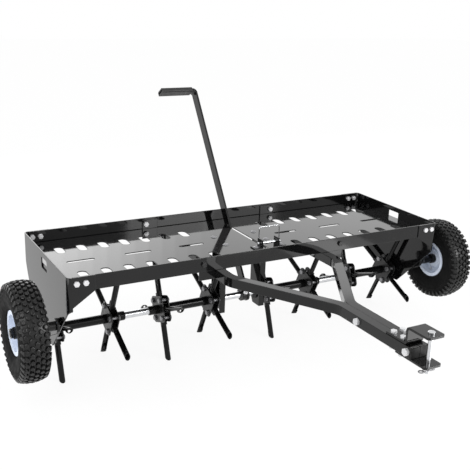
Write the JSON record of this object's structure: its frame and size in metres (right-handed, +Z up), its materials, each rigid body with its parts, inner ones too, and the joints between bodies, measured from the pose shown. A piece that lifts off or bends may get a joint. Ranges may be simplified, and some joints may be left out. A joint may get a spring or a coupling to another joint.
{
  "type": "tow behind aerator",
  "caption": "Tow behind lawn aerator: a shallow weight tray over gangs of hollow tines on a shaft, transport wheels on arms raised by a lever, and a forked tongue with a pin hitch.",
  "frame": {"origin": "on the ground under the middle of the whole machine, tine tips at z = 0", "axes": "+X across to the machine's right wheel as seen from behind, -Y towards the towing vehicle, +Z up"},
  "size_m": [1.41, 1.211, 0.7071],
  "materials": {
    "black_coat": "glossy black powder coat",
    "star_coat": "dark grey textured coat",
    "zinc": "zinc plated",
    "bright_steel": "bright drawn steel",
    "tyre_rubber": "matte black rubber",
    "rim_paint": "light steel blue paint",
    "black_plastic": "satin black plastic",
    "grip_rubber": "soft black grip"
  },
  "bodies": {
    "frame": {"deck": "black_coat", "front_rail": "black_coat", "rear_rail": "black_coat", "end_plate_left": "black_coat", "end_plate_right": "black_coat", "hanger_left": "black_coat", "hanger_right": "black_coat", "shaft_bushes": "black_plastic", "lock_ears": "black_coat", "tongue_brackets": "black_coat", "tongue_tube_left": "black_coat", "tongue_tube_right": "black_coat", "tube_caps": "black_plastic", "hitch_plate_upper": "black_coat", "hitch_plate_lower": "black_coat", "rail_bolts": "zinc", "deck_bolts": "black_coat", "tongue_bolts": "zinc", "hitch_bolts": "zinc"},
    "lift": {"lift_shaft": "bright_steel", "shaft_rings": "zinc", "lever_bar": "black_coat", "lever_grip": "grip_rubber", "lever_collar": "black_coat", "lever_bolt": "zinc", "wheel_arm_left": "black_coat", "wheel_arm_right": "black_coat", "stub_axle_left": "zinc", "stub_axle_right": "zinc", "arm_bolts": "zinc", "lift_nuts": "zinc"},
    "wheel_left": {"tyre_left": "tyre_rubber", "rim_outer_left": "rim_paint", "rim_inner_left": "rim_paint", "hub_left": "black_plastic", "rim_bolts_left": "zinc"},
    "wheel_right": {"tyre_right": "tyre_rubber", "rim_outer_right": "rim_paint", "rim_inner_right": "rim_paint", "hub_right": "black_plastic", "rim_bolts_right": "zinc"},
    "gang_1": {"gang_1_tube": "black_coat", "gang_1_plates": "star_coat", "gang_1_tines": "black_coat", "gang_1_bolts": "zinc"},
    "gang_2": {"gang_2_tube": "black_coat", "gang_2_plates": "star_coat", "gang_2_tines": "black_coat", "gang_2_bolts": "zinc"},
    "gang_3": {"gang_3_tube": "black_coat", "gang_3_plates": "star_coat", "gang_3_tines": "black_coat", "gang_3_bolts": "zinc"},
    "gang_4": {"gang_4_tube": "black_coat", "gang_4_plates": "star_coat", "gang_4_tines": "black_coat", "gang_4_bolts": "zinc"},
    "lock_pin": {"lock_pin": "bright_steel"},
    "hitch_pin": {"hitch_pin": "bright_steel"},
    "hitch_clip": {"hitch_clip": "zinc"}
  },
  "joints": [
    {"name": "lift_swing", "type": "hinge", "parent": "frame", "child": "lift", "pos_m": [0, 0.21351, 0.13681], "axis": [1, 0, 0], "range_deg": [0, 49]},
    {"name": "wheel_left_spin", "type": "hinge", "parent": "lift", "child": "wheel_left", "pos_m": [-0.6685, 0.09199, 0.20007], "axis": [1, 0, 0], "continuous": true},
    {"name": "wheel_right_spin", "type": "hinge", "parent": "lift", "child": "wheel_right", "pos_m": [0.6685, 0.09199, 0.20007], "axis": [1, 0, 0], "continuous": true},
    {"name": "gang_1_spin", "type": "hinge", "parent": "lift", "child": "gang_1", "pos_m": [-0.48, 0.21351, 0.13681], "axis": [1, 0, 0], "continuous": true},
    {"name": "gang_2_spin", "type": "hinge", "parent": "lift", "child": "gang_2", "pos_m": [-0.172, 0.21351, 0.13681], "axis": [1, 0, 0], "continuous": true},
    {"name": "gang_3_spin", "type": "hinge", "parent": "lift", "child": "gang_3", "pos_m": [0.172, 0.21351, 0.13681], "axis": [1, 0, 0], "continuous": true},
    {"name": "gang_4_spin", "type": "hinge", "parent": "lift", "child": "gang_4", "pos_m": [0.48, 0.21351, 0.13681], "axis": [1, 0, 0], "continuous": true},
    {"name": "lock_pin_pull", "type": "slide", "parent": "frame", "child": "lock_pin", "axis": [1, 0, 0], "range_m": [0, 0.065]},
    {"name": "hitch_pin_spin", "type": "hinge", "parent": "frame", "child": "hitch_pin", "pos_m": [0, -0.58749, 0.32931], "axis": [0, 0, 1], "continuous": true},
    {"name": "hitch_clip_pull", "type": "slide", "parent": "hitch_pin", "child": "hitch_clip", "axis": [-1, 0, 0], "range_m": [0, 0.03]}
  ]
}
